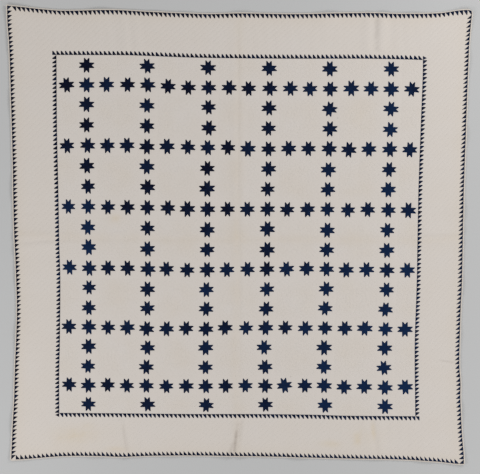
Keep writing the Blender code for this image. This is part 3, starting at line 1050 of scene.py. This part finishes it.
# %% The folded binding
# Columns: distance out from the seam, height above the surface under the quilt
BINDING_SECTION = ((0.0, 3.0), (0.4, 3.5), (1.1, 4.0), (2.2, 4.2), (3.3, 3.9), (4.2, 3.2), (4.8, 2.3),
                   (5.0, 1.6), (4.7, 0.8), (3.8, 0.3), (2.0, 0.1), (-0.6, 0.1))
BINDING_STEP = 4.0
BINDING_WIDTHS_CUT = 2.2
# Puckers: height, length, and the lengths over which they wander and over which they come and go
PUCKER, PUCKER_LENGTH, PUCKER_WANDER, PUCKER_SWELL = 0.22, 5.1, 37, 83
# A tuft of loose thread on the right edge: place along the side, half its width, how far it sticks out
TUFT_SIDE, TUFT_PLACE, TUFT_HALF, TUFT_OUT = "right", 267, 3.0, 4.5
# Rows of the section, counted from 0, that pucker, and those that stick out in the tuft
PUCKER_ROWS, TUFT_ROWS = range(3, 8), range(4, 9)


def make_binding(side):
    steps = round(2 * EDGE_REACH / BINDING_STEP)
    share = np.linspace(-1, 1, steps + 1)
    spots, heights = [], []
    for number, (out, height) in enumerate(BINDING_SECTION):
        reach = TEETH_REACH + out
        place = reach * share
        tuft = 0
        if side == TUFT_SIDE and number in TUFT_ROWS:
            tuft = TUFT_OUT * np.exp(-((strip_spot(side, place, 0)[1] - TUFT_PLACE) / TUFT_HALF) ** 2)
        spots.append(np.column_stack(np.broadcast_arrays(*strip_spot(side, place, reach + tuft))))
        wander = 2 * np.sin(place / PUCKER_WANDER)
        pucker = PUCKER * np.sin(place / PUCKER_LENGTH + wander) * (number in PUCKER_ROWS)
        heights.append(height + pucker * np.sin(place / PUCKER_SWELL) ** 2)
    faces = grid_faces(steps, len(BINDING_SECTION) - 1)
    spots, heights = np.concatenate(spots), np.concatenate(heights)
    sheet = spots, faces, [COTTON] * len(faces), [0.0] * len(faces)
    return lay_piece(f"folded_binding_{side}", f"binding_{side}", sheet,
                     lift(*spots.T) + heights, (2 * EDGE_REACH, BINDING_WIDTHS_CUT * BINDING))


bindings = [make_binding(side) for side in SIDES]
print("points round the edge:", sum(len(piece.data.vertices) for piece in bindings))

# %% [markdown]
# ## The backing
#
# One plain cloth lies under the whole quilt. It is seen only from below, where the stitches come through,
# so its grid is coarse and its paint does the rest. It has the folds and the lines of stitches of the top,
# but its lines round the stars are all alike, where those of the top are uneven.

# %% The backing cloth
BACKING_FACE = 10.0
BACKING_HEIGHT = 0.15
BACKING_REACH = TEETH_REACH + 1


def make_backing():
    reach = BACKING_REACH
    spots, faces, cloths, dyes = plain_cloth(-reach, reach, -reach, reach, BACKING_FACE)
    sheet = spots, [face[::-1] for face in faces], cloths, dyes
    return lay_piece("backing_cloth", None, sheet, lift(*spots.T) + BACKING_HEIGHT,
                     (2 * reach, 2 * reach))


backing = make_backing()
print("faces in the backing:", len(backing.data.polygons))

# %% [markdown]
# ## Cotton
#
# All the cloth is plain-woven cotton, once bleached and now the colour of cream. Seen close it has crossing
# threads, some thicker than others, and small puckers beside the stitches. Age has left the plain squares,
# the two fold lines and the rim a little warmer than the rest, there are pale yellow stains in the lower
# border, and the deepest creases are painted dark, partly as dust and partly as painted shade. All of
# this is worked out from the place on the flat cloth, so it follows the weave as the cloth was cut.

# %% Colours and marks of the white cotton
FRESH_COTTON = (0.738, 0.688, 0.648, 1.0)
AGED_COTTON = (0.715, 0.645, 0.570, 1.0)
STAIN_YELLOW = (0.715, 0.610, 0.465, 1.0)
# Colour of the dark lines in the creases: dust, and painted shade where the folds sink.
SHADE_AND_DUST_COLOUR = (0.400, 0.345, 0.300, 1.0)
SEWING_THREAD = (0.80, 0.77, 0.72, 1.0)
BETWEEN_THREADS = (0.45, 0.41, 0.36, 1.0)
# Colour of the stitched valleys: soil, and painted shade in the valleys.
SEAM_SOIL_AND_SHADE = (0.50, 0.45, 0.38, 1.0)

# Columns: middle of the stain, half its width, half its height, how strong it is
STAINS = ((-718, -905, 96, 42, 0.46), (-786, -914, 36, 22, 0.34), (-678, -868, 58, 26, 0.24),
          (-535, -969, 40, 13, 0.40), (538, -912, 20, 34, 0.62), (556, -896, 11, 42, 0.30),
          (612, -872, 12, 46, 0.56), (575, -905, 66, 48, 0.20), (419, -937, 46, 18, 0.44),
          (-545, 86, 23, 16, 0.46), (534, 550, 66, 76, 0.12), (515, -553, 64, 72, 0.10),
          (4, 7, 36, 36, 0.18))
# Dark lines along creases, partly dust and partly painted shade. Columns: one end of a line, other end, half
# its width, how strong it is
CREASE_DUST_AND_SHADE_LINES = (((2, -862), (-16, -1004), 7.5, 0.56), ((6, -832), (2, -925), 11.0, 0.16),
                 ((-10, -930), (-40, -1004), 8.0, 0.30), ((-512, -850), (-490, -990), 7.0, 0.15),
                 ((594, 990), (598, 885), 11.0, 0.15), ((905, -540), (990, -556), 4.0, 0.20))

# How yellow the cloth has become, and what adds to it
AGED_ALL_OVER, LESS_IN_FIELD, AGED_CLOUDS = 0.30, 0.08, 0.22
AGED_SQUARES, SQUARE_CLOUDS, SQUARE_SIZE, SQUARE_SOFTNESS = 0.14, 0.40, 1.9, 56
AGED_FOLDS, FOLD_WIDTH, LEVEL_FOLD_WIDTH = 0.42, 22.0, 20.0
FOLD_TONE, FOLD_STREAKS = 0.8, 0.5
AGED_RIM, RIM_WIDTH = 0.55, 46.0
FIELD_EDGE_SOFTNESS = 30
RAGGED, DUST_AND_SHADE_ENDS, DUST_AND_SHADE_STREAKS = 0.5, 5, 0.6
print("stains:", len(STAINS), "and dusty creases:", len(CREASE_DUST_AND_SHADE_LINES))


# %% Age, stains, and dust and painted shade in the creases
def stains(recipe, u, v):
    """1 in the middle of a strong stain, with ragged soft edges."""
    ragged = recipe.noise(u, v, 34, 30, detail=4.0) * RAGGED
    blots = []
    for middle_u, middle_v, half_wide, half_high, strength in STAINS:
        du, dv = (u - middle_u) / half_wide, (v - middle_v) / half_high
        blots.append(grown(-du * du - dv * dv + ragged) * strength)
    return limited(most(*blots))


def dust_and_shade_in_creases(u, v, streaky):
    """1 where a crease is painted dark, partly with dust and partly with painted shade."""
    marks = []
    for start, end, half_width, strength in CREASE_DUST_AND_SHADE_LINES:
        along = along_line(start, end, u, v)
        ends = limited(along * DUST_AND_SHADE_ENDS) * limited((1 - along) * DUST_AND_SHADE_ENDS)
        mark = near_line(right_of(start, end, u, v), half_width)
        marks.append(mark * ends * strength * (1 + streaky * DUST_AND_SHADE_STREAKS))
    return limited(most(*marks))


def aged_colour(recipe, u, v):
    """Cream cotton with its age: warmer in the squares, along the folds and at the rim, stained, and dark in
    the creases with dust and painted shade.
    """
    reach = most(size_of(u), size_of(v))
    cloudy = recipe.noise(u, v, 150, 130, detail=3.0)
    streaky = recipe.noise(u, v, 30, 30, detail=3.0)
    x, y = in_plain_square(u, v)
    in_field = limited((FRAME_REACH - reach) / FIELD_EDGE_SOFTNESS)
    in_square = limited(SQUARE_SIZE - root(x * x + y * y) / SQUARE_SOFTNESS) * in_field
    folds = most(near_line(size_of(u), FOLD_WIDTH), near_line(size_of(v), LEVEL_FOLD_WIDTH))
    folds = folds * (FOLD_TONE + streaky * FOLD_STREAKS)
    rim = near_line(EDGE_REACH - reach, RIM_WIDTH)
    yellowed = (AGED_ALL_OVER - in_field * LESS_IN_FIELD + in_square * (AGED_SQUARES + cloudy * SQUARE_CLOUDS)
                + cloudy * AGED_CLOUDS + folds * AGED_FOLDS + rim * AGED_RIM)
    colour = recipe.blend(limited(yellowed), FRESH_COTTON, AGED_COTTON)
    colour = recipe.blend(stains(recipe, u, v), colour, STAIN_YELLOW)
    # Dark lines along the creases: dust, and painted shade where the cloth folds.
    return recipe.blend(dust_and_shade_in_creases(u, v, streaky), colour, SHADE_AND_DUST_COLOUR)


print("the rim is warmer over about", RIM_WIDTH, "mm")

# %% Weave and stitches
THREAD = 0.45
WEAVE_HEIGHT = 0.035
STITCH_STEP, STITCH_SHARE = 3.2, 0.58
HALF_STITCH, HALF_SEWING_THREAD = STITCH_STEP * STITCH_SHARE / 2, 0.45
CRISP = 5
THREAD_BED, SEAM_SHADE, SEAM_DEPTH = 1.3, 0.09, 0.30
THREAD_TONE, THREAD_HEIGHT = 0.8, 0.12
SLUB_TONE, GAP_TONE, SLUB_HEIGHT, PUCKER_HEIGHT = 0.10, 0.10, 0.012, 0.10


def woven(u, v):
    """Height of plain-woven threads in millimetres."""
    return sine(u * (np.pi / THREAD)) * sine(v * (np.pi / THREAD)) * WEAVE_HEIGHT


def sewn_stitches(lines):
    """1 on the thread of a running stitch, and 0 elsewhere."""
    return most(*[limited((HALF_SEWING_THREAD - distance) * CRISP)
                  * limited((HALF_STITCH - size_of(off_nearest(along, STITCH_STEP))) * CRISP)
                  for distance, along in lines])


def white_cotton(name, lines_of=None):
    """The white cloth, with stitches wherever the given lines run."""
    recipe = Recipe(name, roughness=0.9)
    u, v = recipe.place("cut_place")
    slubs = recipe.noise(u, v, 22, 0.7, detail=1.0) + recipe.noise(u, v, 0.7, 26, detail=1.0)
    puckers = recipe.noise(u, v, 9, 8)
    aged = aged_colour(recipe, u, v)
    gaps = recipe.blend(GAP_TONE, aged, BETWEEN_THREADS)
    colour = recipe.blend(limited(0.5 + slubs * SLUB_TONE), gaps, aged)
    height = woven(u, v) + slubs * SLUB_HEIGHT + puckers * PUCKER_HEIGHT
    if lines_of:
        lines = lines_of(u, v, *recipe.place("star_shift"))
        sunk, thread = near_line(nearest(lines), THREAD_BED), sewn_stitches(lines)
        # Painted shade and soil: the cloth is coloured darker in the valleys of the stitched lines.
        colour = recipe.blend(sunk * SEAM_SHADE, colour, SEAM_SOIL_AND_SHADE)
        colour = recipe.blend(thread * THREAD_TONE, colour, SEWING_THREAD)
        height = height - sunk * SEAM_DEPTH + thread * THREAD_HEIGHT
    return recipe.finished(colour, height)


field_cotton = white_cotton("quilted_field_cotton", field_lines)
border_cotton = white_cotton("quilted_border_cotton", border_lines)
backing_cotton = white_cotton("quilted_backing_cotton", lines_of_back)
plain_cotton = white_cotton("plain_cotton")
print("nodes in the field's cotton:", len(field_cotton.node_tree.nodes))

# %% [markdown]
# ## Indigo
#
# The blue is indigo-dyed cotton. It is nearly black where the dye is strong. It fades in its own way from
# one dye lot to the next, so each diamond carries a number that says how faded it is, and the paint mixes
# two blues by it. Where the cloth is rubbed, the white core of the threads begins to show.

# %% The indigo cotton
STRONG_INDIGO = (0.0036, 0.0050, 0.0165, 1.0)
FADED_INDIGO = (0.0072, 0.0268, 0.0860, 1.0)
RUBBED_INDIGO = (0.016, 0.034, 0.080, 1.0)
CLOUDY_DYE, RUBBED_THREADS, RUBBED_CLOUDS, RUBBED_FROM, RUBBED_MOST = 0.10, 0.5, 0.3, 0.15, 0.35
BLUE_SLUB_HEIGHT, BLUE_PUCKER_HEIGHT = 0.015, 0.08


def indigo_cotton(name):
    recipe = Recipe(name, roughness=0.86)
    u, v = recipe.place("cut_place")
    fade = recipe.node("ShaderNodeAttribute", {"attribute_name": "dye"}, {}, output=2)
    cloudy = recipe.noise(u, v, 14, 12, detail=3.0)
    slubs = recipe.noise(u, v, 16, 0.6, detail=1.0) + recipe.noise(u, v, 0.6, 16, detail=1.0)
    colour = recipe.blend(limited(fade + cloudy * CLOUDY_DYE), STRONG_INDIGO, FADED_INDIGO)
    rubbed = limited(slubs * RUBBED_THREADS + cloudy * RUBBED_CLOUDS - RUBBED_FROM)
    colour = recipe.blend(rubbed * RUBBED_MOST, colour, RUBBED_INDIGO)
    puckers = recipe.noise(u, v, 7, 6) * BLUE_PUCKER_HEIGHT
    return recipe.finished(colour, woven(u, v) + slubs * BLUE_SLUB_HEIGHT + puckers)


blue_cotton = indigo_cotton("indigo_cotton")
print("nodes in the indigo cotton:", len(blue_cotton.node_tree.nodes))

# %% Cloth on every piece
for pieces, white in ((star_blocks, field_cotton), (borders, border_cotton), ([backing], backing_cotton),
                      (teeth + bindings, plain_cotton)):
    for piece in pieces:
        piece.data.materials.append(white)
for piece in star_blocks + teeth:
    piece.data.materials.append(blue_cotton)
print("pieces with blue in them:", len(star_blocks + teeth))

# %% [markdown]
# ## Floor, light and camera
#
# The quilt lies face up on a plain pale floor. Four soft lamps stand low beyond its corners, because light
# that rakes over the cloth shows its folds and quilting. The strongest are at the upper right and the lower
# left, where the real quilt is brightest, and a dim sky fills the shadows. The camera is straight above
# with a long lens, so the quilt keeps its true outline.

# %% The floor
FLOOR_SIZE, FLOOR_DROP, FLOOR_PATCHY = 14, 0.0004, 0.3
FLOOR_GREY, FLOOR_PALE = (0.555, 0.56, 0.56, 1), (0.585, 0.585, 0.585, 1)


def make_floor():
    bpy.ops.mesh.primitive_plane_add(size=FLOOR_SIZE, location=(0, 0, -FLOOR_DROP))
    floor = bpy.context.object
    floor.name = "floor"
    recipe = Recipe("pale_floor", roughness=0.75)
    where = recipe.node("ShaderNodeTexCoord", {}, {}, output=3)
    x, y = (recipe.node("ShaderNodeSeparateXYZ", {}, {0: where}, output=axis) for axis in (0, 1))
    patchy = recipe.noise(x, y, 1.6, 1.4)
    colour = recipe.blend(limited(0.5 + patchy * FLOOR_PATCHY), FLOOR_GREY, FLOOR_PALE)
    recipe.join(colour, recipe.shader.inputs["Base Color"])
    floor.data.materials.append(recipe.material)
    return floor


floor = make_floor()
print("floor is", round(floor.dimensions.x, 1), "m wide")

# %% Lamps and sky
LAMP_SIZE = 1.1
SKY_STRENGTH = 0.44
LAMPS = {
    "lamp_upper_right": ((2.60, 2.18, 1.9), 42),
    "lamp_lower_left": ((-2.78, -1.95, 1.9), 36),
    "lamp_lower_right": ((2.78, -1.95, 1.9), 27.5),
    "lamp_upper_left": ((-2.78, 1.95, 1.9), 11),
}
for name, (place, watts) in LAMPS.items():
    lamp = bpy.data.lights.new(name, "AREA")
    lamp.energy, lamp.size = watts, LAMP_SIZE
    holder = bpy.data.objects.new(name, lamp)
    holder.location = place
    holder.rotation_euler = (-Vector(place)).to_track_quat("-Z", "Y").to_euler()
    bpy.context.scene.collection.objects.link(holder)

sky = bpy.data.worlds.new("dim_sky")
sky.use_nodes = True
sky.node_tree.nodes["Background"].inputs["Color"].default_value = (1, 1, 1, 1)
sky.node_tree.nodes["Background"].inputs["Strength"].default_value = SKY_STRENGTH
bpy.context.scene.world = sky
bpy.context.scene.view_settings.view_transform = "Standard"
print("lamps:", len(LAMPS), "with watts in all:", sum(watts for _, watts in LAMPS.values()))

# %% The camera
PICTURE_WIDTH, MM_A_PIXEL = 480, 4.369
VIEW_MIDDLE = (0.0026, -0.0096)
CAMERA_HEIGHT, QUILT_TOP = 6.0, 0.004
SENSOR = 36

eye = bpy.data.cameras.new("camera_above")
eye.sensor_width = SENSOR
eye.lens = SENSOR * (CAMERA_HEIGHT - QUILT_TOP) / (PICTURE_WIDTH * MM_A_PIXEL * MM)
eye.clip_end = 50
camera = bpy.data.objects.new("camera_above", eye)
camera.location = (*VIEW_MIDDLE, CAMERA_HEIGHT)
bpy.context.scene.collection.objects.link(camera)
bpy.context.scene.camera = camera
print("lens in mm:", round(eye.lens, 1))
